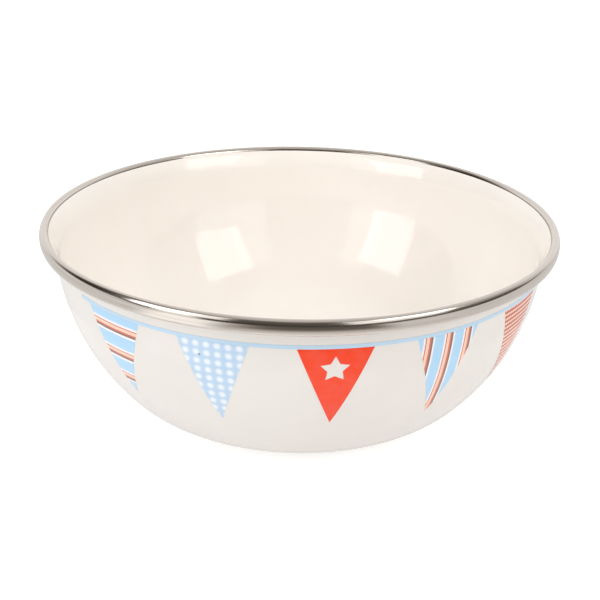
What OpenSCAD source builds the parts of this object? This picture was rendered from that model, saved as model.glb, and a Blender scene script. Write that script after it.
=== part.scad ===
// Enamelled steel basin bowl with a stainless rim band and a printed bunting under the rim.
// The bowl stands on its base at z = 0, its axis is +Z and the front of the print faces -Y.
// Every layer of the wall is the same curve, set in from the outside by its depth.

/* [Bowl] */
// Outer diameter over the rim band, mm
rim_diameter = 200; // [150:1:260]
// Height from the table to the crown of the rim band, mm
bowl_height = 72; // [66:0.5:80]
// How far the wall runs out from the edge of the flat base to the rim, mm
wall_run = 51.5; // [44:0.5:58]
// Radius of the heel between base and wall, on the outside, mm
heel_radius = 32.5; // [28:0.5:36]
// Lean of the wall from upright where the lip begins, degrees
wall_lean = 4.6; // [3:0.2:6]
// Radius of the flared lip on its outer face, mm
lip_radius = 17; // [14:0.5:19]
// Lean of the lip from upright where it enters the rim band, degrees
lip_flare = 40; // [36:1:44]

/* [Pressed base] */
// Height by which the middle of the base is pressed up, mm
base_rise = 1.2; // [0.6:0.1:2]
// Width of the flat ring that the bowl stands on, mm
standing_width = 6; // [4:0.5:10]
// Radius of both bends of the pressed step, mm
rise_radius = 10; // [6:0.5:14]

/* [Sheet and coats] */
// Thickness of the pressed steel, mm
steel_thickness = 0.6; // [0.5:0.05:0.7]
// Thickness of the inside coat, mm
inner_coat = 0.25; // [0.15:0.05:0.3]
// Thickness of the outside coat, mm
outer_coat = 0.25; // [0.15:0.05:0.3]

/* [Rim band] */
// Width of the rim band's oval section, mm
rim_width = 3.4; // [3.2:0.1:4.2]
// Height of the rim band's oval section, mm
rim_height = 5.6; // [4.8:0.1:6.6]
// Radius of the oval's ends, as a share of half its width
rim_roundness = 0.82; // [0.8:0.01:0.9]
// Thickness of the stainless strip, mm
band_thickness = 0.35; // [0.3:0.05:0.4]
// How far the strip reaches down the inside of the lip, mm
band_reach = 1.2; // [0.8:0.1:2]
// Angle to which the strip is rolled under, below the horizontal and past the bottom, degrees
band_wrap = 150; // [130:1:155]
// Angle to which the steel edge is curled inside the strip, degrees
curl_wrap = 120; // [100:1:125]

/* [Printed bunting] */
// Depth of the tape's middle below the crown of the rim band, mm
tape_drop = 11.5; // [11:0.1:16]
// Width of the printed tape, mm
tape_width = 1.4; // [0.8:0.1:2.4]
// Gap between the tape and the top edge of a flag, mm
flag_gap = 0.05; // [0.05:0.05:1.5]
// Width of a flag along its top edge, mm
flag_width = 25; // [16:0.2:28]
// Height of a row's middle flag from its top edge to its tip, mm
flag_height = 31.6; // [20:0.2:33]
// How much longer the two flags left of the middle hang, mm
left_extra = 1.2; // [0:0.2:3]
// How much longer the two flags right of the middle hang, mm
right_extra = 2.4; // [0:0.2:3]
// Bare tape between two flags, mm
flag_space = 15.2; // [8:0.2:18]
// How far the tape runs on past the outer corners of its row, mm
tape_overrun = 6; // [0:0.5:10]
// Direction of the middle flag of the first row, degrees from the front towards +X
print_direction = 7.5; // [-180:0.5:180]
// Radius of the star's points, mm
star_radius = 5.1; // [3:0.1:6]
// Radius of the star's notches, as a share of its points
star_notch = 0.52; // [0.4:0.01:0.6]
// Depth of the star's middle below the top edge of its flag, mm
star_drop = 7.8; // [6.8:0.1:9]
// Thickness of the fired print, mm
print_thickness = 0.08; // [0.06:0.01:0.12]

/* [Hidden] */
$fn = 144;

// How far a drawn chord may stand off its curve, mm
smoothness = 0.01;

// Flag designs in their order from left to right: one row hangs on the front of the bowl and one on the back
designs = ["banded", "dotted", "starred", "striped", "checked"];
rows = 2;
flag_count = len(designs) * rows;

function row(i) = floor(i / len(designs));
function design(i) = designs[i % len(designs)];
function flag_name(i) = str("flag_", design(i), "_", 1 + row(i));
function tape_name(i) = str("bunting_tape_", 1 + i);

// Depths of the layers, measured inward from the outside of the outer coat
steel_outside = outer_coat;
steel_inside = outer_coat + steel_thickness;
coat_inside = steel_inside + inner_coat;
band_inside = steel_inside + band_thickness;

function unit(angle) = [cos(angle), sin(angle)];
function chord_steps(radius, sweep) = max(2, ceil(abs(sweep) / (2 * acos(1 - smoothness / radius))));
function backwards(path) = [for (i = [len(path) - 1:-1:0]) path[i]];

// Points of an arc after its first one, which the stretch before it has already drawn
function arc(centre, radius, from, to, steps) =
  [for (i = [1:steps]) centre + radius * unit(from + (to - from) * i / steps)];

// Oval of the rim band: two end arcs and two side arcs that meet without a corner
rim_centre = [(rim_diameter - rim_width) / 2, bowl_height - rim_height / 2];
end_radius = rim_roundness * rim_width / 2;
end_offset = rim_height / 2 - end_radius;
side_radius = (pow(rim_width / 2, 2) + pow(end_offset, 2) - pow(end_radius, 2)) / (rim_width - 2 * end_radius);
side_offset = side_radius - rim_width / 2;
side_half_angle = atan2(end_offset, side_offset);

function oval_centre(angle) =
  sin(angle) > sin(side_half_angle) ? [0, end_offset]
  : sin(angle) < -sin(side_half_angle) ? [0, -end_offset]
  : cos(angle) > 0 ? [-side_offset, 0]
  : [side_offset, 0];
function oval_radius(angle) = abs(sin(angle)) > sin(side_half_angle) ? end_radius : side_radius;
// Point of the oval whose surface faces this way, set in by a depth
function rim_point(angle, depth) =
  rim_centre + oval_centre(angle) + (oval_radius(angle) - depth) * unit(angle);

// The sheet enters the oval at the flare and is rolled outward over its crown
entry_angle = 180 - lip_flare;
roll_step = 7.5;
function rolled(depth, from, to) =
  let (steps = ceil((from - to) / roll_step))
  [for (i = [1:steps]) rim_point(from + (to - from) * i / steps, depth)];

// Centres and radii of the outside curve, from the rim down to the base
lip_centre = rim_point(entry_angle, band_inside) + lip_radius * unit(-lip_flare);
lip_start = lip_centre + lip_radius * unit(180 - wall_lean);
base_edge = rim_diameter / 2 - wall_run;
heel_centre = [base_edge, heel_radius];
heel_to_lip = lip_start - heel_centre;
wall_radius = (pow(heel_radius, 2) - heel_to_lip * heel_to_lip)
  / (2 * (heel_to_lip * unit(180 - wall_lean) + heel_radius));
wall_centre = lip_start + wall_radius * unit(180 - wall_lean);
wall_start = atan2(heel_centre.y - wall_centre.y, heel_centre.x - wall_centre.x);

// The pressed step of the base is two equal bends
rise_angle = acos(1 - base_rise / (2 * rise_radius));
standing_inside = base_edge - standing_width;
rise_inside = standing_inside - 2 * rise_radius * sin(rise_angle);

heel_steps = chord_steps(heel_radius, wall_start + 90);
wall_steps = chord_steps(wall_radius, wall_start + wall_lean);
rise_steps = chord_steps(rise_radius, rise_angle);

// Lean of the lip at the strip's inner edge, where the inside coat ends
band_edge = lip_flare - band_reach / (lip_radius + steel_inside) * 180 / PI;
lip_steps = chord_steps(lip_radius, band_edge - wall_lean);
reach_steps = chord_steps(lip_radius, lip_flare - band_edge);

// Wall curve at a depth, from the axis out to the level of the strip's inner edge
function wall_curve(depth) = concat(
  [[0, base_rise + depth], [rise_inside, base_rise + depth]],
  arc([rise_inside, base_rise - rise_radius], rise_radius + depth, 90, 90 - rise_angle, rise_steps),
  arc([standing_inside, rise_radius], rise_radius - depth, -90 - rise_angle, -90, rise_steps),
  [[heel_centre.x, depth]],
  arc(heel_centre, heel_radius - depth, -90, wall_start, heel_steps),
  arc(wall_centre, wall_radius - depth, wall_start, -wall_lean, wall_steps),
  arc(lip_centre, lip_radius + depth, 180 - wall_lean, 180 - band_edge, lip_steps)
);

// Stretch of the lip from the level of the strip's inner edge to the oval
function lip_curve(depth) =
  arc(lip_centre, lip_radius + depth, 180 - band_edge, entry_angle, reach_steps);

module steel_shell() {
  color([0.42, 0.43, 0.45])
    rotate_extrude()
      polygon(concat(
        wall_curve(steel_outside),
        lip_curve(steel_outside),
        rolled(band_thickness + steel_thickness, entry_angle, -curl_wrap),
        backwards(rolled(band_thickness, entry_angle, -curl_wrap)),
        backwards(lip_curve(steel_inside)),
        backwards(wall_curve(steel_inside))
      ));
}

module inner_enamel() {
  color([0.96, 0.925, 0.865])
    rotate_extrude()
      polygon(concat(
        wall_curve(steel_inside),
        backwards(wall_curve(coat_inside))
      ));
}

module outer_enamel() {
  color([0.945, 0.935, 0.915])
    rotate_extrude()
      polygon(concat(
        wall_curve(0),
        lip_curve(0),
        backwards(lip_curve(steel_outside)),
        backwards(wall_curve(steel_outside))
      ));
}

// One face of the strip, from its inner edge over the crown to its rolled-under end
function strip_curve(depth, inset) = concat(
  [lip_centre + (lip_radius + depth) * unit(180 - band_edge)],
  lip_curve(depth),
  rolled(inset, entry_angle, -curl_wrap),
  rolled(inset, -curl_wrap, -band_wrap)
);

module rim_band() {
  color([0.78, 0.775, 0.765])
    rotate_extrude()
      polygon(concat(
        strip_curve(steel_inside, band_thickness),
        backwards(strip_curve(band_inside, 0))
      ));
}

// Section of the print, a thin layer on the outside of the outer coat
module print_section() {
  polygon(concat(
    wall_curve(-print_thickness),
    backwards(wall_curve(0))
  ));
}

// Direction of the front, measured from +X
front = -90;
tape_middle = bowl_height - tape_drop;
flag_top = tape_middle - tape_width / 2 - flag_gap;

// Angles that a flag, the step from flag to flag, a whole row and its tape take up on the wall
top_radius = wall_centre.x + sqrt(pow(wall_radius, 2) - pow(flag_top - wall_centre.y, 2));
flag_sweep = 2 * asin(flag_width / 2 / top_radius);
flag_pitch = flag_sweep + flag_space / top_radius * 180 / PI;
row_sweep = (len(designs) - 1) * flag_pitch + flag_sweep;
tape_sweep = row_sweep + 2 * tape_overrun / top_radius * 180 / PI;

function row_direction(i) = print_direction + i * 360 / rows;
function flag_direction(i) =
  row_direction(row(i)) + (i % len(designs) - (len(designs) - 1) / 2) * flag_pitch;

// The tape of one row, from a little before its first flag to as far past its last
module bunting_tape(i) {
  color([0.72, 0.84, 0.93])
    rotate(front + row_direction(i) - tape_sweep / 2)
      rotate_extrude(angle = tape_sweep)
        intersection() {
          print_section();
          translate([0, tape_middle - tape_width / 2])
            square([rim_diameter / 2, tape_width]);
        }
}

module star() {
  polygon([
    for (i = [0:9]) (i % 2 == 0 ? star_radius : star_radius * star_notch) * unit(90 + 36 * i)
  ]);
}

// Heights of a row's flags, from left to right
flag_heights = [for (extra = [left_extra, left_extra, 0, right_extra, right_extra]) flag_height + extra];

module pennant(height) {
  polygon([[-flag_width / 2, flag_top], [flag_width / 2, flag_top], [0, flag_top - height]]);
}

flag_colours = [
  [0.75, 0.86, 0.95], [0.72, 0.84, 0.94], [0.94, 0.32, 0.25], [0.72, 0.85, 0.95], [0.93, 0.58, 0.5]
];

module flag(i) {
  color(flag_colours[i % len(designs)])
    intersection() {
      rotate_extrude()
        print_section();
      rotate([90, 0, flag_direction(i)])
        linear_extrude(height = rim_diameter / 2)
          difference() {
            pennant(flag_heights[i % len(designs)]);
            if (design(i) == "starred")
              translate([0, flag_top - star_drop])
                star();
          }
    }
}

steel_shell();
inner_enamel();
outer_enamel();
rim_band();
for (i = [0:rows - 1])
  bunting_tape(i);
for (i = [0:flag_count - 1])
  flag(i);
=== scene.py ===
import math

import bmesh
import bpy
from mathutils import Matrix, Vector


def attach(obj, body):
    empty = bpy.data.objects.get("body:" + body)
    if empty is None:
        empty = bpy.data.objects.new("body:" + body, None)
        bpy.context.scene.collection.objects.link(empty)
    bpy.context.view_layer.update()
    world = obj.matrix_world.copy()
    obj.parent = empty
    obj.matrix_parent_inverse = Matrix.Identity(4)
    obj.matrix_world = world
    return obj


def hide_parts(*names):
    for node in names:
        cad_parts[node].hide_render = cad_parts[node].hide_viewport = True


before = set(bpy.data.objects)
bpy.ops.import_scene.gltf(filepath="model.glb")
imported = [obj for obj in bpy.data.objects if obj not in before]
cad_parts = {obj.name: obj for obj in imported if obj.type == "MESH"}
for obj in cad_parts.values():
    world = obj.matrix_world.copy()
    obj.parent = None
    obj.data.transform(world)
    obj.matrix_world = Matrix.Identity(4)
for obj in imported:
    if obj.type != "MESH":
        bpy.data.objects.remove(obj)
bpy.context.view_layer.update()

MM = 0.001
FULL_TURN = 360.0

# Direction of the bowl's front, in degrees from +X
FRONT = -90.0

# Bowl profile, in millimetres and degrees: radius from the axis, height above the table
RIM_RADIUS = 100.0
BOWL_HEIGHT = 72.0
BASE_EDGE = 48.5
HEEL_RADIUS = 32.5
WALL_LEAN = 4.6
LIP_RADIUS = 17.0
LIP_FLARE = 40.0
BASE_RISE = 1.2
STANDING_WIDTH = 6.0
RISE_RADIUS = 10.0

# Depths of the layers, from the outside of the outer coat inwards
STEEL_OUTSIDE = 0.25
STEEL_INSIDE = 0.85
COAT_INSIDE = 1.1

# Rim strip: an oval section of four arcs, with a reach over the coat inside
STRIP_THICKNESS = 0.35
STRIP_OUTSIDE = STEEL_INSIDE + STRIP_THICKNESS
STRIP_REACH = 1.2
REACH_TURN = 20.0
STRIP_WRAP = 150.0
RIM_WIDTH = 3.4
RIM_HEIGHT = 5.6
RIM_ROUNDNESS = 0.82

# Printed bunting
TAPE_DROP = 11.5
TAPE_WIDTH = 1.4
FLAG_GAP = 0.05
FLAG_WIDTH = 25.0
FLAG_HEIGHT = 31.6
LEFT_EXTRA = 1.2
RIGHT_EXTRA = 2.4
FLAG_SPACE = 15.2
TAPE_OVERRUN = 6.0
PRINT_DIRECTION = 7.5
STAR_RADIUS = 5.1
STAR_NOTCH = 0.52
STAR_DROP = 7.8
SPECK_ACROSS = -4.5
SPECK_DOWN = 5.3
PRINT_THICKNESS = 0.08
DESIGNS = ["banded", "dotted", "starred", "striped", "checked"]
ROWS = 2

# The patch of wall that a flag is cut from: its margin above and below, and half its turn
CUT_MARGIN = 0.6
PATCH_HALF_TURN = 8.4

# Facets around the bowl, and along each arc of a section
AROUND = 288
STRIP_AROUND = 360
TAPE_AROUND = 96
RISE_STEPS = 8
HEEL_STEPS = 26
WALL_STEPS = 30
LIP_STEPS = 18
CROWN_STEPS = 22
SIDE_STEPS = 14
REACH_STEPS = 10
EDGE_STEPS = 6
TAPE_STEPS = 4
PATCH_STEPS = 30

# Points nearer than JOIN are one, and a cut runs through points nearer than CUT_REACH, in metres
JOIN = 1e-6
CUT_REACH = 1e-8

# Edges that turn by more than this, in degrees, stay sharp
SHARP_TURN = 40.0


def spoke(degrees):
    return Vector((math.cos(math.radians(degrees)), math.sin(math.radians(degrees))))


# Centres and radii of the profile's arcs, each arc running on into the next
rim_centre = Vector((RIM_RADIUS - RIM_WIDTH / 2, BOWL_HEIGHT - RIM_HEIGHT / 2))
end_radius = RIM_ROUNDNESS * RIM_WIDTH / 2
end_offset = RIM_HEIGHT / 2 - end_radius
side_radius = ((RIM_WIDTH / 2) ** 2 + end_offset**2 - end_radius**2) / (RIM_WIDTH - 2 * end_radius)
side_offset = side_radius - RIM_WIDTH / 2
side_turn = math.degrees(math.atan2(end_offset, side_offset))
crown_centre = rim_centre + Vector((0, end_offset))
under_centre = rim_centre - Vector((0, end_offset))
side_centre = rim_centre - Vector((side_offset, 0))

entry_angle = 180 - LIP_FLARE
lip_entry = crown_centre + (end_radius - STRIP_OUTSIDE) * spoke(entry_angle)
lip_centre = lip_entry + LIP_RADIUS * spoke(-LIP_FLARE)
lip_start = lip_centre + LIP_RADIUS * spoke(180 - WALL_LEAN)
heel_centre = Vector((BASE_EDGE, HEEL_RADIUS))
heel_to_lip = lip_start - heel_centre
wall_radius = (HEEL_RADIUS**2 - heel_to_lip.length_squared) / (
    2 * (heel_to_lip.dot(spoke(180 - WALL_LEAN)) + HEEL_RADIUS)
)
wall_centre = lip_start + wall_radius * spoke(180 - WALL_LEAN)
wall_to_heel = heel_centre - wall_centre
wall_start = math.degrees(math.atan2(wall_to_heel.y, wall_to_heel.x))
rise_angle = math.degrees(math.acos(1 - BASE_RISE / (2 * RISE_RADIUS)))
standing_inside = BASE_EDGE - STANDING_WIDTH
rise_inside = standing_inside - 2 * RISE_RADIUS * math.sin(math.radians(rise_angle))
strip_edge = LIP_FLARE - math.degrees(STRIP_REACH / (LIP_RADIUS + STEEL_INSIDE))

# The strip's inner reach is pressed down towards the coat: an arc that runs on from the crown
reach_radius = STRIP_REACH / math.radians(REACH_TURN)
reach_centre = crown_centre + (end_radius - reach_radius) * spoke(entry_angle)
reach_end = reach_centre + reach_radius * spoke(entry_angle + REACH_TURN)

tape_middle = BOWL_HEIGHT - TAPE_DROP
flag_top = tape_middle - TAPE_WIDTH / 2 - FLAG_GAP

# A row's middle flag is the shortest; those left and right of it hang lower
flag_extras = (LEFT_EXTRA, LEFT_EXTRA, 0, RIGHT_EXTRA, RIGHT_EXTRA)
flag_heights = [FLAG_HEIGHT + extra for extra in flag_extras]

# Angles that a flag, the step from flag to flag, a whole row and its tape take up on the wall
top_radius = wall_centre.x + math.sqrt(wall_radius**2 - (flag_top - wall_centre.y) ** 2)
flag_sweep = 2 * math.degrees(math.asin(FLAG_WIDTH / 2 / top_radius))
flag_pitch = flag_sweep + math.degrees(FLAG_SPACE / top_radius)
row_sweep = (len(DESIGNS) - 1) * flag_pitch + flag_sweep
tape_sweep = row_sweep + 2 * math.degrees(TAPE_OVERRUN / top_radius)


def row_direction(row):
    """Where the middle flag of a row faces, in degrees from the front towards +X."""
    return PRINT_DIRECTION + row * FULL_TURN / ROWS


def flag_direction(row, place):
    return row_direction(row) + (place - (len(DESIGNS) - 1) / 2) * flag_pitch


def wall_angle(height):
    """Angle on the wall's arc of a point of the outside at this height."""
    return math.degrees(math.asin((height - wall_centre.y) / wall_radius))


def wall_place(across, down):
    """Point on the outside of the wall, on a flag that faces the front.

    It lies these millimetres from the flag's middle and below its top.
    """
    height = flag_top - down
    radius = wall_centre.x + wall_radius * math.cos(math.radians(wall_angle(height)))
    return Vector((across, -math.sqrt(radius**2 - across**2), height)) * MM


def section_point(point):
    return Vector((point[0] * MM, 0, point[1] * MM))


# Meshes: sections drawn as lines and turned, as on a wheel


def about_axis(degrees):
    return Matrix.Rotation(math.radians(degrees), 3, "Z")


def swung(bm, degrees):
    """Turns a mesh about the bowl's axis."""
    bmesh.ops.rotate(bm, verts=bm.verts[:], cent=(0, 0, 0), matrix=about_axis(degrees))


def everything(bm):
    return bm.verts[:] + bm.edges[:] + bm.faces[:]


class Section:
    """A line drawn in the bowl's section: straight runs and arcs, one after the other."""

    def __init__(self, start):
        self.bm = bmesh.new()
        self.tip = self.bm.verts.new(section_point(start))

    def straight_to(self, point):
        grown = bmesh.ops.extrude_vert_indiv(self.bm, verts=[self.tip])
        self.tip = grown["verts"][0]
        self.tip.co = section_point(point)

    def arc_round(self, centre, turn, steps):
        """On from the tip, round a centre, by an angle from +X towards +Z."""
        swept = bmesh.ops.spin(
            self.bm,
            geom=[self.tip],
            cent=section_point(centre),
            axis=(0, -1, 0),
            angle=math.radians(turn),
            steps=steps,
        )
        self.tip = swept["geom_last"][0]

    def turned_on_the_wheel(self, turn=FULL_TURN, steps=AROUND):
        """The section swept round the bowl's axis."""
        bmesh.ops.remove_doubles(self.bm, verts=self.bm.verts[:], dist=JOIN)
        bmesh.ops.spin(
            self.bm,
            geom=everything(self.bm),
            cent=(0, 0, 0),
            axis=(0, 0, 1),
            angle=math.radians(turn),
            steps=steps,
            use_merge=turn == FULL_TURN,
        )
        bmesh.ops.remove_doubles(self.bm, verts=self.bm.verts[:], dist=JOIN)
        bmesh.ops.recalc_face_normals(self.bm, faces=self.bm.faces[:])
        return self.bm


def placed(bm, name, material):
    """An object from its mesh, with its finish."""
    mesh = bpy.data.meshes.new(name)
    bm.to_mesh(mesh)
    bm.free()
    mesh.materials.append(material)
    piece = bpy.data.objects.new(name, mesh)
    bpy.context.scene.collection.objects.link(piece)
    return piece


def finished(bm, name, material, slot, *nodes):
    """A piece of the bowl from its mesh, in place of the CAD nodes that it stands for."""
    for face in bm.faces:
        face.smooth = True
    for edge in bm.edges:
        if len(edge.link_faces) == 2 and edge.calc_face_angle() > math.radians(SHARP_TURN):
            edge.smooth = False
    piece = placed(bm, name, material)
    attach(piece, "root")
    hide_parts(*nodes)
    return piece


def wall_outwards(section, depth, lip_end):
    """Adds one face of a wall layer, from the axis out to the lip."""
    section.straight_to((rise_inside, BASE_RISE + depth))
    section.arc_round((rise_inside, BASE_RISE - RISE_RADIUS), -rise_angle, RISE_STEPS)
    section.arc_round((standing_inside, RISE_RADIUS), rise_angle, RISE_STEPS)
    section.straight_to((BASE_EDGE, depth))
    section.arc_round(heel_centre, wall_start + 90, HEEL_STEPS)
    section.arc_round(wall_centre, -WALL_LEAN - wall_start, WALL_STEPS)
    section.arc_round(lip_centre, WALL_LEAN - lip_end, LIP_STEPS)


def wall_inwards(section, depth, lip_end):
    """Adds the other face, back from the lip to the axis."""
    section.straight_to(lip_centre + (LIP_RADIUS + depth) * spoke(180 - lip_end))
    section.arc_round(lip_centre, lip_end - WALL_LEAN, LIP_STEPS)
    section.arc_round(wall_centre, wall_start + WALL_LEAN, WALL_STEPS)
    section.arc_round(heel_centre, -90 - wall_start, HEEL_STEPS)
    section.straight_to((standing_inside, depth))
    section.arc_round((standing_inside, RISE_RADIUS), -rise_angle, RISE_STEPS)
    section.arc_round((rise_inside, BASE_RISE - RISE_RADIUS), rise_angle, RISE_STEPS)
    section.straight_to((0, BASE_RISE + depth))


# Materials: small helpers that add a node and join it up


def add(tree, kind, *, out=0, put=None, **settings):
    """One node. put maps its inputs to values or to other nodes' outputs."""
    made = tree.nodes.new(kind)
    for name, value in settings.items():
        setattr(made, name, value)
    for key, value in (put or {}).items():
        socket = made.inputs[key]
        if isinstance(value, bpy.types.NodeSocket):
            tree.links.new(value, socket)
        else:
            socket.default_value = value
    return made.outputs[out] if out is not None else made


def maths(tree, operation, a, b=0.0, c=0.0):
    return add(tree, "ShaderNodeMath", operation=operation, put={0: a, 1: b, 2: c})


def times(tree, a, b):
    return maths(tree, "MULTIPLY", a, b)


def less(tree, a, b):
    return maths(tree, "SUBTRACT", a, b)


def rest_of(tree, share):
    """What a share leaves of 1."""
    return less(tree, 1.0, share)


def distance_of(tree, x, y):
    return maths(tree, "SQRT", maths(tree, "ADD", times(tree, x, x), times(tree, y, y)))


def repeated(tree, value, pitch):
    """How far a value has come in its pitch, from 0 to 1."""
    return maths(tree, "FRACT", maths(tree, "DIVIDE", value, pitch))


def blended(tree, share, first, second):
    """A colour between two, by a share from 0 to 1."""
    colours = {0: share, 6: first, 7: second}
    return add(tree, "ShaderNodeMix", out=2, data_type="RGBA", put=colours)


def toned(tree, share, level, other):
    """A level that moves to another one by a share."""
    return add(tree, "ShaderNodeMix", put={0: share, 2: level, 3: other})


def stepped(tree, value, low, high):
    """0 below low and 1 above high, smooth between."""
    return add(
        tree,
        "ShaderNodeMapRange",
        interpolation_type="SMOOTHSTEP",
        put={"Value": value, "From Min": low, "From Max": high, "To Min": 0.0, "To Max": 1.0},
    )


def below(tree, value, limit, soft):
    """1 below a limit and 0 above it, with a soft edge."""
    return rest_of(tree, stepped(tree, value, limit - soft / 2, limit + soft / 2))


def between(tree, value, low, high, soft):
    """1 between low and high and 0 outside, with soft edges."""
    above = stepped(tree, value, low - soft / 2, low + soft / 2)
    return times(tree, above, below(tree, value, high, soft))


def ranged(tree, value, low, high, first, last):
    """From first to last while a value goes from low to high."""
    return add(
        tree,
        "ShaderNodeMapRange",
        put={"Value": value, "From Min": low, "From Max": high, "To Min": first, "To Max": last},
    )


def noise(tree, place, scale, detail, roughness=0.5):
    return add(
        tree,
        "ShaderNodeTexNoise",
        put={"Vector": place, "Scale": scale, "Detail": detail, "Roughness": roughness},
    )


def by_noise(tree, value, first, last):
    """From first to last over the levels that a noise mostly has, 0.3 to 0.7."""
    return ranged(tree, value, 0.3, 0.7, first, last)


def bumped(tree, height, strength, distance, under=None):
    """A surface raised by a height, to a distance in metres, over another one where given."""
    put = {"Strength": strength, "Distance": distance, "Height": height}
    if under is not None:
        put["Normal"] = under
    return add(tree, "ShaderNodeBump", put=put)


def paint(red, green, blue):
    """A colour as it is seen on screen, 0 to 255, in the shader's own scale."""

    def linear(level):
        level /= 255
        return level / 12.92 if level <= 0.04045 else ((level + 0.055) / 1.055) ** 2.4

    return (linear(red), linear(green), linear(blue), 1.0)


def shade(colour, share):
    return (colour[0] * share, colour[1] * share, colour[2] * share, 1.0)


WHITE_LIGHT = (1.0, 1.0, 1.0, 1.0)
WARM_LIGHT = (1.0, 0.90, 0.80, 1.0)
FLOOR_PAPER = (0.68, 0.675, 0.67, 1.0)
STAINLESS = (0.71, 0.645, 0.585, 1.0)
SHEET_STEEL = (0.40, 0.41, 0.43, 1.0)
PRINT_WHITE = paint(247, 246, 245)
SKY_BLUE = paint(180, 220, 250)
TAPE_BLUE = paint(196, 222, 242)
DOT_BLUE = paint(192, 217, 241)
DOT_WHITE = paint(240, 247, 253)
FLAG_RED = paint(250, 64, 12)
LINE_RED = paint(220, 116, 96)
PEACH = paint(255, 212, 188)
BROWN = paint(146, 108, 98)
BURNT_GREY = paint(110, 112, 116)
CHECK_PALE = paint(255, 218, 196)
CHECK_PINK = paint(248, 178, 148)
CHECK_RED = paint(216, 108, 82)
CHECK_DARK = paint(170, 72, 58)


def new_finish(name, roughness, **constants):
    """An empty finish and its shader."""
    finish = bpy.data.materials.new(name)
    finish.use_nodes = True
    shader = finish.node_tree.nodes["Principled BSDF"]
    shader.inputs["Roughness"].default_value = roughness
    for socket, value in constants.items():
        shader.inputs[socket].default_value = value
    return finish, finish.node_tree, shader


def object_place(tree):
    return add(tree, "ShaderNodeTexCoord", out="Object")


def fired_glass(tree, shader, place):
    """The surface of fired enamel: slow waves, fine orange peel, a gloss that varies a little."""
    waves = noise(tree, place, scale=38.0, detail=1.5, roughness=0.45)
    peel = noise(tree, place, scale=420.0, detail=2.0)
    wavy = bumped(tree, waves, strength=0.30, distance=0.0006)
    fine = bumped(tree, peel, strength=0.10, distance=0.0001, under=wavy)
    tree.links.new(fine, shader.inputs["Normal"])
    gloss = noise(tree, place, scale=70.0, detail=3.0)
    tree.links.new(by_noise(tree, gloss, 0.05, 0.10), shader.inputs["Roughness"])


def enamel(name, body, cloud, speck):
    """Fired enamel: a milky colour that clouds a little, with rare dark specks burnt into it."""
    rarity, speck_depth = 0.965, 0.7
    finish, tree, shader = new_finish(name, 0.07, IOR=1.52)
    place = object_place(tree)
    slow = noise(tree, place, scale=16.0, detail=3.0, roughness=0.6)
    colour = blended(tree, stepped(tree, slow, 0.35, 0.70), body, cloud)
    cell = add(tree, "ShaderNodeTexVoronoi", out=None, put={"Vector": place, "Scale": 26.0})
    chance = add(tree, "ShaderNodeSeparateColor", put={0: cell.outputs["Color"]})
    rare = maths(tree, "GREATER_THAN", chance, rarity)
    spot = rest_of(tree, stepped(tree, cell.outputs["Distance"], 0.004, 0.009))
    burnt = times(tree, times(tree, spot, rare), speck_depth)
    colour = blended(tree, burnt, colour, speck)
    tree.links.new(colour, shader.inputs["Base Color"])
    fired_glass(tree, shader, place)
    return finish


def polished_strip(name, metal):
    """Stainless strip, polished along its length: fine lines that run round the rim."""
    finish, tree, shader = new_finish(name, 0.16, Metallic=1.0, Anisotropic=0.35)
    shader.inputs["Base Color"].default_value = metal
    place = object_place(tree)
    x, y, z = add(tree, "ShaderNodeSeparateXYZ", out=None, put={0: place}).outputs
    radius = distance_of(tree, x, y)
    across_lines, along_lines = 1900.0, 28.0
    drawn = {
        0: times(tree, radius, across_lines),
        1: times(tree, z, across_lines),
        2: times(tree, x, along_lines),
    }
    lines = add(
        tree,
        "ShaderNodeTexNoise",
        noise_dimensions="4D",
        put={
            "Vector": add(tree, "ShaderNodeCombineXYZ", put=drawn),
            "W": times(tree, y, along_lines),
            "Scale": 1.0,
            "Detail": 3.0,
            "Roughness": 0.6,
        },
    )
    tree.links.new(by_noise(tree, lines, 0.10, 0.19), shader.inputs["Roughness"])
    bright = by_noise(tree, lines, 0.0, 1.0)
    colour = blended(tree, bright, shade(metal, 0.87), shade(metal, 1.06))
    # A shadow line where the strip's inner edge meets the coat
    edge = reach_end.x * MM
    inner = rest_of(tree, stepped(tree, radius, edge + 0.10 * MM, edge + 0.26 * MM))
    inner = times(tree, inner, maths(tree, "GREATER_THAN", z, rim_centre.y * MM))
    colour = blended(tree, inner, colour, shade(metal, 0.42))
    tree.links.new(colour, shader.inputs["Base Color"])
    dents = noise(tree, place, scale=55.0, detail=1.0)
    dented = bumped(tree, dents, strength=0.12, distance=0.0003)
    scratched = bumped(tree, lines, strength=0.06, distance=0.00005, under=dented)
    tree.links.new(scratched, shader.inputs["Normal"])
    return finish


def bare_sheet(name, metal):
    """The steel under the coats: dull rolled sheet."""
    finish, tree, shader = new_finish(name, 0.45, Metallic=1.0)
    grain = noise(tree, object_place(tree), scale=300.0, detail=4.0)
    colour = blended(tree, grain, shade(metal, 0.85), shade(metal, 1.1))
    tree.links.new(colour, shader.inputs["Base Color"])
    tree.links.new(by_noise(tree, grain, 0.38, 0.55), shader.inputs["Roughness"])
    return finish


def ink_finish(name):
    return new_finish(name, 0.08, IOR=1.5)


def printed(name):
    """An empty print finish, its shader, and the place on the flag.

    The place is in millimetres across the flag's middle, and below its top.
    """
    finish, tree, shader = ink_finish(name)
    flat = add(tree, "ShaderNodeUVMap", uv_map="flag")
    apart = add(tree, "ShaderNodeSeparateXYZ", out=None, put={0: flat})
    across = maths(tree, "MULTIPLY_ADD", apart.outputs[0], FLAG_WIDTH, -FLAG_WIDTH / 2)
    down = maths(tree, "MULTIPLY_ADD", apart.outputs[1], -FLAG_HEIGHT, FLAG_HEIGHT)
    return finish, tree, shader, across, down


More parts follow.
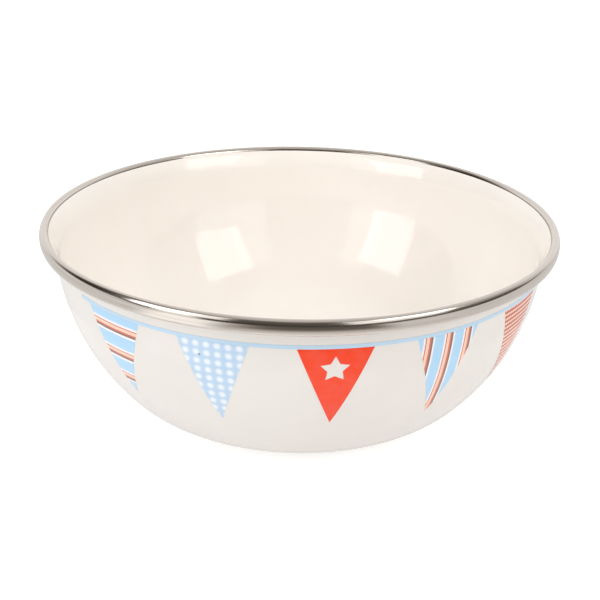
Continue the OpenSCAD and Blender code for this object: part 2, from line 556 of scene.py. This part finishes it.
def inked(tree, shader, colour):
    """Lays the ink: its colour varies a little, and it shares the coat's fired surface."""
    place = object_place(tree)
    mottle = noise(tree, place, scale=240.0, detail=3.0)
    worn = blended(tree, ranged(tree, mottle, 0.35, 0.75, 0.0, 0.035), colour, PRINT_WHITE)
    tree.links.new(worn, shader.inputs["Base Color"])
    fired_glass(tree, shader, place)


def striped_ink(tree, value, pitch, first_middle, pair, white):
    """Blue stripes with a pair of red lines between them, edged in white.

    They repeat at a pitch along a value in millimetres.
    """
    share = repeated(tree, less(tree, value, first_middle - pitch / 2), pitch)
    ramp = add(tree, "ShaderNodeValToRGB", out=None, put={0: share})
    lines, edge = pair / pitch, white / pitch
    start, end = 0.5 - lines / 2, 0.5 + lines / 2
    stops = [
        (0.0, SKY_BLUE),
        (start - edge, PRINT_WHITE),
        (start, LINE_RED),
        (start + 0.14 * lines, PEACH),
        (start + 0.54 * lines, LINE_RED),
        (start + 0.76 * lines, BROWN),
        (end, PRINT_WHITE),
        (end + edge, SKY_BLUE),
    ]
    ramp.color_ramp.interpolation = "CONSTANT"
    points = ramp.color_ramp.elements
    while len(points) < len(stops):
        points.new(0.5)
    for point, (position, colour) in zip(points, stops):
        point.position = position
        point.color = colour
    return ramp.outputs[0]


def banded_print():
    """Stripes across the flag."""
    finish, tree, shader, _, down = printed("banded_print")
    ink = striped_ink(tree, down, pitch=10.2, first_middle=5.1, pair=3.1, white=0.95)
    inked(tree, shader, ink)
    return finish


def striped_print():
    """Stripes down the flag."""
    finish, tree, shader, across, _ = printed("striped_print")
    ink = striped_ink(tree, across, pitch=8.2, first_middle=0.0, pair=2.9, white=0.75)
    inked(tree, shader, ink)
    return finish


def dotted_print():
    """Soft white dots on pale blue, and one burnt speck on the flag at the front left."""
    finish, tree, shader, across, down = printed("dotted_print")
    column, row, first_row, dot = 3.74, 3.27, 1.2, 1.12
    off_column = less(tree, repeated(tree, across, column), 0.5)
    off_row = less(tree, repeated(tree, less(tree, down, first_row - row / 2), row), 0.5)
    off_dot = distance_of(tree, times(tree, off_column, column), times(tree, off_row, row))
    colour = blended(tree, stepped(tree, off_dot, dot * 0.35, dot * 1.6), DOT_WHITE, DOT_BLUE)

    speck_turn = about_axis(flag_direction(0, DESIGNS.index("dotted")))
    speck_at = speck_turn @ wall_place(SPECK_ACROSS, SPECK_DOWN)
    ends = {0: object_place(tree), 1: tuple(speck_at)}
    away = add(tree, "ShaderNodeVectorMath", out="Value", operation="DISTANCE", put=ends)
    speck = rest_of(tree, stepped(tree, away, 0.22 * MM, 0.55 * MM))
    speck_depth = 0.85
    inked(tree, shader, blended(tree, times(tree, speck, speck_depth), colour, BURNT_GREY))
    return finish


def starred_print():
    """Plain red: the star is cut out of the flag, so that the coat shows."""
    finish, tree, shader = ink_finish("starred_print")
    inked(tree, shader, FLAG_RED)
    return finish


def checked_print():
    """A small red gingham: two sets of stripes, darker where they cross."""
    finish, tree, shader, across, down = printed("checked_print")
    check = 1.95
    stripes = []
    for value in (across, down):
        off_middle = maths(tree, "ABSOLUTE", less(tree, repeated(tree, value, check), 0.5))
        stripes.append(rest_of(tree, stepped(tree, off_middle, 0.22, 0.28)))
    upright, level = stripes
    one_way = blended(tree, level, CHECK_PALE, CHECK_RED)
    both_ways = blended(tree, level, CHECK_PINK, CHECK_DARK)
    inked(tree, shader, blended(tree, upright, one_way, both_ways))
    return finish


def tape_print():
    finish, tree, shader = ink_finish("tape_print")
    inked(tree, shader, TAPE_BLUE)
    return finish


cream_inside = enamel(
    "cream_enamel",
    body=paint(252, 246, 239),
    cloud=paint(250, 243, 235),
    speck=paint(96, 84, 72),
)
white_outside = enamel(
    "white_enamel",
    body=paint(238, 233, 227),
    cloud=paint(235, 229, 223),
    speck=paint(92, 88, 84),
)
stainless = polished_strip("stainless_strip", STAINLESS)
sheet_steel = bare_sheet("pressed_sheet", SHEET_STEEL)

# The pressed shell is hidden under the coats and the strip, so its CAD solid stays
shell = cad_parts["steel_shell"]
shell.data.materials.clear()
shell.data.materials.append(sheet_steel)

# The two coats, each a closed layer turned from its section
inside = Section((0, BASE_RISE + STEEL_INSIDE))
wall_outwards(inside, STEEL_INSIDE, strip_edge)
wall_inwards(inside, COAT_INSIDE, strip_edge)
finished(inside.turned_on_the_wheel(), "inner_coat", cream_inside, "cream_enamel", "inner_enamel")

outside = Section((0, BASE_RISE))
wall_outwards(outside, 0, LIP_FLARE)
wall_inwards(outside, STEEL_OUTSIDE, LIP_FLARE)
finished(outside.turned_on_the_wheel(), "outer_coat", white_outside, "white_enamel", "outer_enamel")


def rim_strip():
    """The strip over the curled edge, pressed down on the lip inside, both its edges rounded."""
    strip = Section(reach_end)
    strip.arc_round(reach_centre, -REACH_TURN, REACH_STEPS)
    strip.arc_round(crown_centre, side_turn - entry_angle, CROWN_STEPS)
    strip.arc_round(side_centre, -2 * side_turn, SIDE_STEPS)
    strip.arc_round(under_centre, side_turn - STRIP_WRAP, CROWN_STEPS)
    under_edge = under_centre + (end_radius - STRIP_THICKNESS / 2) * spoke(-STRIP_WRAP)
    strip.arc_round(under_edge, -180, EDGE_STEPS)
    strip.arc_round(under_centre, STRIP_WRAP - side_turn, CROWN_STEPS)
    strip.arc_round(side_centre, 2 * side_turn, SIDE_STEPS)
    strip.arc_round(crown_centre, entry_angle - side_turn, CROWN_STEPS)
    strip.arc_round(lip_centre, LIP_FLARE - strip_edge, EDGE_STEPS)
    inner_end = lip_centre + (LIP_RADIUS + STEEL_INSIDE) * spoke(180 - strip_edge)
    strip.arc_round((inner_end + reach_end) / 2, -180, EDGE_STEPS)
    return strip.turned_on_the_wheel(steps=STRIP_AROUND)


finished(rim_strip(), "rim_strip", stainless, "stainless_band", "rim_band")


def tape_of_row(row):
    """The tape that a row of flags hangs from, lying on the wall."""
    low = wall_angle(tape_middle - TAPE_WIDTH / 2)
    high = wall_angle(tape_middle + TAPE_WIDTH / 2)
    tape = Section(wall_centre + wall_radius * spoke(low))
    tape.arc_round(wall_centre, high - low, TAPE_STEPS)
    tape.straight_to(wall_centre + (wall_radius + PRINT_THICKNESS) * spoke(high))
    tape.arc_round(wall_centre, low - high, TAPE_STEPS)
    bmesh.ops.contextual_create(tape.bm, geom=tape.bm.verts[:])
    bm = tape.turned_on_the_wheel(tape_sweep, TAPE_AROUND)
    swung(bm, FRONT + row_direction(row) - tape_sweep / 2)
    return bm


tape_ink = tape_print()
for row in range(ROWS):
    name = f"tape_{row + 1}"
    finished(tape_of_row(row), name, tape_ink, "tape_print", f"bunting_{name}")


def star_sides():
    """The star's ten sides on the flag, each from one corner to the next."""
    middle = Vector((0, flag_top - STAR_DROP))
    reaches = (STAR_RADIUS, STAR_RADIUS * STAR_NOTCH)
    corners = [middle + reaches[corner % 2] * spoke(90 + 36 * corner) for corner in range(10)]
    return list(zip(corners, corners[1:] + corners[:1]))


def in_star(x, z):
    """Whether a point of the flag lies in the star, by the sides that it is left of."""
    crossings = 0
    for a, b in star_sides():
        if (a.y > z) != (b.y > z) and x < a.x + (z - a.y) * (b.x - a.x) / (b.y - a.y):
            crossings += 1
    return crossings % 2 == 1


def cut_patch(bm, a, b, clear):
    """Cuts a patch along the line from a to b, seen from the front.

    What lies right of the line is cleared where asked.
    """
    along = (b - a).normalized()
    bmesh.ops.bisect_plane(
        bm,
        geom=everything(bm),
        dist=CUT_REACH,
        plane_co=section_point(a),
        plane_no=(along.y, 0, -along.x),
        clear_outer=clear,
    )


def pennant(design, height, turn):
    """One flag: a patch of the wall, cut to a pennant and given the print's thickness.

    A star is cut out of it where the design has one.
    """
    low = wall_angle(flag_top - height - CUT_MARGIN)
    high = wall_angle(flag_top + CUT_MARGIN)
    patch = Section(wall_centre + wall_radius * spoke(low))
    patch.arc_round(wall_centre, high - low, PATCH_STEPS)
    bm = patch.turned_on_the_wheel(2 * PATCH_HALF_TURN, PATCH_STEPS)
    swung(bm, FRONT - PATCH_HALF_TURN)

    left = Vector((-FLAG_WIDTH / 2, flag_top))
    right = Vector((FLAG_WIDTH / 2, flag_top))
    tip = Vector((0, flag_top - height))
    for a, b in ((left, tip), (tip, right), (right, left)):
        cut_patch(bm, a, b, clear=True)
    if design == "starred":
        for a, b in star_sides():
            cut_patch(bm, a, b, clear=False)
        starred = []
        for face in bm.faces:
            middle = face.calc_center_median()
            if in_star(middle.x / MM, middle.z / MM):
                starred.append(face)
        bmesh.ops.delete(bm, geom=starred, context="FACES")

    for face in bm.faces:
        if face.normal.y > 0:
            face.normal_flip()
    flat = bm.loops.layers.uv.new("flag")
    bmesh.ops.solidify(bm, geom=bm.faces[:], thickness=-PRINT_THICKNESS * MM)
    bmesh.ops.recalc_face_normals(bm, faces=bm.faces[:])
    for face in bm.faces:
        for corner in face.loops:
            x, z = corner.vert.co.x / MM, corner.vert.co.z / MM
            corner[flat].uv = (x / FLAG_WIDTH + 0.5, 1 - (flag_top - z) / FLAG_HEIGHT)
    swung(bm, turn)
    return bm


flag_inks = {
    "banded": (banded_print(), "blue_flag_print"),
    "dotted": (dotted_print(), "blue_flag_print"),
    "starred": (starred_print(), "red_flag_print"),
    "striped": (striped_print(), "blue_flag_print"),
    "checked": (checked_print(), "red_flag_print"),
}
for row in range(ROWS):
    for place, design in enumerate(DESIGNS):
        ink, slot = flag_inks[design]
        name = f"{design}_{row + 1}"
        flag = pennant(design, flag_heights[place], flag_direction(row, place))
        finished(flag, f"pennant_{name}", ink, slot, f"flag_{name}")


# The stage: a white floor, two softboxes, a light above, and surroundings that only show in
# reflections. Sizes are in metres, directions in degrees from the front towards +X and upwards.
FLOOR_SIZE = 4.0
FLOOR_DROP = 0.0001
FLOOR_GLOW = 0.31
FLOOR_GLOW_SEEN = 0.28
AIR_LEVEL = 0.65
ROOM_RADIUS = 1.75
TABLE_START = 130.0
TABLE_LIFT = 0.4
LAMP_AIM = Vector((0, 0, 0.04))

# Levels of light that the bowl's gloss shows: the room
FRONT_LOW, FRONT_HIGH, CEILING = 0.07, 0.22, 0.64
RIGHT_WALL_LOW, RIGHT_WALL_HIGH, PALE_WALL = 0.11, 0.60, 0.68
BLACK_CORNER, WHITE_EDGE = 0.03, 0.88
BACKDROP_LOW, BACKDROP_HIGH = 1.0, 0.68

# The dimmer edges of the two softboxes: their sides, their heights and their levels
SOFTBOX_EDGES = (
    ((20, 42), (11, 48), 1.3),
    ((42, 61), (11, 23), 1.2),
    ((-47, -29), (12, 46), 1.4),
    ((-58, -39), (-8, 12), 1.2),
)

# The table
TABLE_LEVEL, TABLE_RIGHT, TABLE_UNDER_LAMP, TABLE_FRONT, TABLE_FAR = 0.80, 0.77, 1.33, 0.14, 0.20


def stage_piece(bm, name, material):
    piece = placed(bm, name, material)
    return piece


def only_for_gloss(piece):
    piece.visible_camera = False
    piece.visible_diffuse = False
    piece.visible_shadow = False
    piece.visible_transmission = False


def bare_finish(name):
    """A finish with nothing in its tree yet."""
    finish = bpy.data.materials.new(name)
    finish.use_nodes = True
    finish.node_tree.nodes.clear()
    return finish, finish.node_tree


def floor_finish():
    """White paper with a glow of its own, more of it where the camera sees it."""
    finish, tree = bare_finish("white_floor")
    seen = add(tree, "ShaderNodeLightPath", out="Is Camera Ray")
    paper = add(tree, "ShaderNodeBsdfDiffuse", put={"Color": FLOOR_PAPER})
    glow = maths(tree, "MULTIPLY_ADD", seen, FLOOR_GLOW_SEEN, FLOOR_GLOW)
    lift = add(tree, "ShaderNodeEmission", put={"Color": WHITE_LIGHT, "Strength": glow})
    surface = add(tree, "ShaderNodeAddShader", put={0: paper, 1: lift})
    add(tree, "ShaderNodeOutputMaterial", out=None, put={"Surface": surface})
    return finish


floor = bmesh.new()
bmesh.ops.create_grid(floor, x_segments=1, y_segments=1, size=FLOOR_SIZE)
bmesh.ops.translate(floor, verts=floor.verts[:], vec=(0, 0, -FLOOR_DROP))
stage_piece(floor, "floor", floor_finish())


def seen_in_gloss(name, levels):
    """A finish for the surroundings, warmer where it is dark.

    levels gives the light of a direction: degrees from the front, degrees up, metres out.
    """
    finish, tree = bare_finish(name)
    x, y, z = add(tree, "ShaderNodeSeparateXYZ", out=None, put={0: object_place(tree)}).outputs
    out = distance_of(tree, x, y)
    azimuth = maths(tree, "DEGREES", maths(tree, "ARCTAN2", x, times(tree, y, -1.0)))
    elevation = maths(tree, "DEGREES", maths(tree, "ARCTAN2", z, out))
    level = levels(tree, azimuth, elevation, out)
    colour = blended(tree, stepped(tree, level, 0.1, 0.8), WARM_LIGHT, WHITE_LIGHT)
    glow = add(tree, "ShaderNodeEmission", put={"Color": colour, "Strength": level})
    add(tree, "ShaderNodeOutputMaterial", out=None, put={"Surface": glow})
    return finish


def window(tree, azimuth, elevation, sides, heights, soft):
    """1 in a window of the surroundings and 0 outside, with soft edges."""
    wide = between(tree, azimuth, *sides, soft)
    return times(tree, wide, between(tree, elevation, *heights, soft))


def room_levels(tree, azimuth, elevation, out):
    """An unlit room: dark in front and paler above, a pale wall on the right, a white backdrop
    behind, a black corner on the left with a white edge below it, and the softboxes' edges."""
    level = ranged(tree, elevation, 8, 54, FRONT_LOW, FRONT_HIGH)
    level = toned(tree, stepped(tree, elevation, 48, 68), level, CEILING)

    right = window(tree, azimuth, elevation, sides=(62, 200), heights=(3, 62), soft=10)
    right_wall = ranged(tree, elevation, 6, 36, RIGHT_WALL_LOW, RIGHT_WALL_HIGH)
    level = toned(tree, right, level, right_wall)
    pale = times(tree, stepped(tree, azimuth, 96, 107), stepped(tree, elevation, 1, 9))
    level = toned(tree, pale, level, PALE_WALL)

    corner = window(tree, azimuth, elevation, sides=(-108, -80), heights=(6, 34), soft=12)
    level = toned(tree, corner, level, BLACK_CORNER)
    low = below(tree, elevation, 3.5, soft=5)
    edge = times(tree, between(tree, azimuth, -138, -70, soft=10), low)
    level = toned(tree, edge, level, WHITE_EDGE)

    behind = stepped(tree, maths(tree, "ABSOLUTE", azimuth), 108, 134)
    backdrop = ranged(tree, elevation, 20, 85, BACKDROP_LOW, BACKDROP_HIGH)
    level = toned(tree, behind, level, backdrop)

    for sides, heights, lit in SOFTBOX_EDGES:
        level = toned(tree, window(tree, azimuth, elevation, sides, heights, soft=6), level, lit)
    return level


def table_levels(tree, azimuth, elevation, out):
    """The lit table: dark towards the camera, brightest under the left softbox, greyer far behind
    the bowl."""
    level = toned(tree, between(tree, azimuth, 30, 130, soft=20), TABLE_LEVEL, TABLE_RIGHT)

    near = below(tree, out, 0.65, soft=0.3)
    under_lamp = times(tree, between(tree, azimuth, -52, -27, soft=10), near)
    level = toned(tree, under_lamp, level, TABLE_UNDER_LAMP)

    front = times(tree, stepped(tree, azimuth, -36, -8), below(tree, azimuth, 30, soft=12))
    front = times(tree, front, stepped(tree, out, 0.13, 0.25))
    level = toned(tree, front, level, TABLE_FRONT)

    behind = stepped(tree, maths(tree, "ABSOLUTE", azimuth), 160, 170)
    far = times(tree, behind, stepped(tree, out, 0.28, 0.36))
    return toned(tree, far, level, TABLE_FAR)


room = bmesh.new()
bmesh.ops.create_uvsphere(room, u_segments=64, v_segments=32, radius=ROOM_RADIUS)
bmesh.ops.bisect_plane(
    room, geom=everything(room), plane_co=(0, 0, 0), plane_no=(0, 0, 1), clear_inner=True
)
only_for_gloss(stage_piece(room, "room", seen_in_gloss("room_light", room_levels)))

table_line = Section((TABLE_START, TABLE_LIFT))
table_line.straight_to((ROOM_RADIUS / MM, TABLE_LIFT))
table = table_line.turned_on_the_wheel(steps=64)
only_for_gloss(stage_piece(table, "table", seen_in_gloss("table_light", table_levels)))


def softbox(name, azimuth, elevation, distance, width, height, level, roll=0, tint=(1, 1, 1)):
    """A lamp that faces the bowl."""
    light = bpy.data.lights.new(name, "AREA")
    light.shape = "RECTANGLE"
    light.size, light.size_y = width, height
    light.energy = level * math.pi * width * height
    light.color = tint
    a, e = math.radians(azimuth), math.radians(elevation)
    towards = Vector((math.sin(a) * math.cos(e), -math.cos(a) * math.cos(e), math.sin(e)))
    lamp = bpy.data.objects.new(name, light)
    rolled = Matrix.Rotation(math.radians(roll), 4, "Z").to_quaternion()
    turn = (towards.to_track_quat("Z", "Y") @ rolled).to_matrix().to_4x4()
    lamp.matrix_world = Matrix.Translation(towards * distance + LAMP_AIM) @ turn
    bpy.context.scene.collection.objects.link(lamp)
    lamp.visible_camera = False
    return lamp


softbox(
    "right_softbox",
    azimuth=53,
    elevation=35.5,
    distance=0.95,
    width=0.43,
    height=0.45,
    level=3.0,
    roll=-8,
    tint=(1.0, 0.985, 0.965),
)
softbox(
    "left_softbox",
    azimuth=-56.5,
    elevation=25.5,
    distance=0.95,
    width=0.42,
    height=0.53,
    level=3.08,
    roll=6,
    tint=(0.988, 1.0, 1.03),
)
overhead = softbox(
    "overhead", azimuth=0, elevation=88, distance=1.4, width=1.0, height=1.0, level=1.2
)
overhead.visible_glossy = False


def studio_air():
    """White air, dimmer as a light on the bowl than where it is seen."""
    world = bpy.data.worlds.new("studio")
    world.use_nodes = True
    tree = world.node_tree
    tree.nodes.clear()
    rays = add(tree, "ShaderNodeLightPath", out=None).outputs
    seen = maths(tree, "MAXIMUM", rays["Is Glossy Ray"], rays["Is Transmission Ray"])
    seen = maths(tree, "MAXIMUM", rays["Is Camera Ray"], seen)
    level = ranged(tree, seen, 0.0, 1.0, AIR_LEVEL, 1.0)
    air = add(tree, "ShaderNodeBackground", put={"Color": WHITE_LIGHT, "Strength": level})
    add(tree, "ShaderNodeOutputWorld", out=None, put={"Surface": air})
    bpy.context.scene.world = world


studio_air()

# The camera's distance from the middle of the rim, in metres, and its angles, in degrees
CAMERA_DISTANCE = 0.43
CAMERA_ELEVATION = 19.21
CAMERA_TILT = 1.047


def take_camera():
    """Looks down on the bowl from the front, as the photograph does, with its slight tilt."""
    data = bpy.data.cameras.new("camera")
    data.sensor_width = 36.0
    data.lens = 65.76
    data.shift_y = -0.1426
    data.clip_start = 0.01
    elevation, tilt = math.radians(CAMERA_ELEVATION), math.radians(CAMERA_TILT)
    back = Vector((0, -math.cos(elevation), math.sin(elevation)))
    level = Vector((1, 0, 0))
    upright = back.cross(level)
    right = math.cos(tilt) * level + math.sin(tilt) * upright
    up = -math.sin(tilt) * level + math.cos(tilt) * upright
    place = Vector((0, 0, BOWL_HEIGHT * MM)) + CAMERA_DISTANCE * back
    camera = bpy.data.objects.new("camera", data)
    camera.matrix_world = Matrix(
        (
            (right.x, up.x, back.x, place.x),
            (right.y, up.y, back.y, place.y),
            (right.z, up.z, back.z, place.z),
            (0, 0, 0, 1),
        )
    )
    bpy.context.scene.collection.objects.link(camera)
    bpy.context.scene.camera = camera


take_camera()
bpy.context.scene.view_settings.view_transform = "Standard"
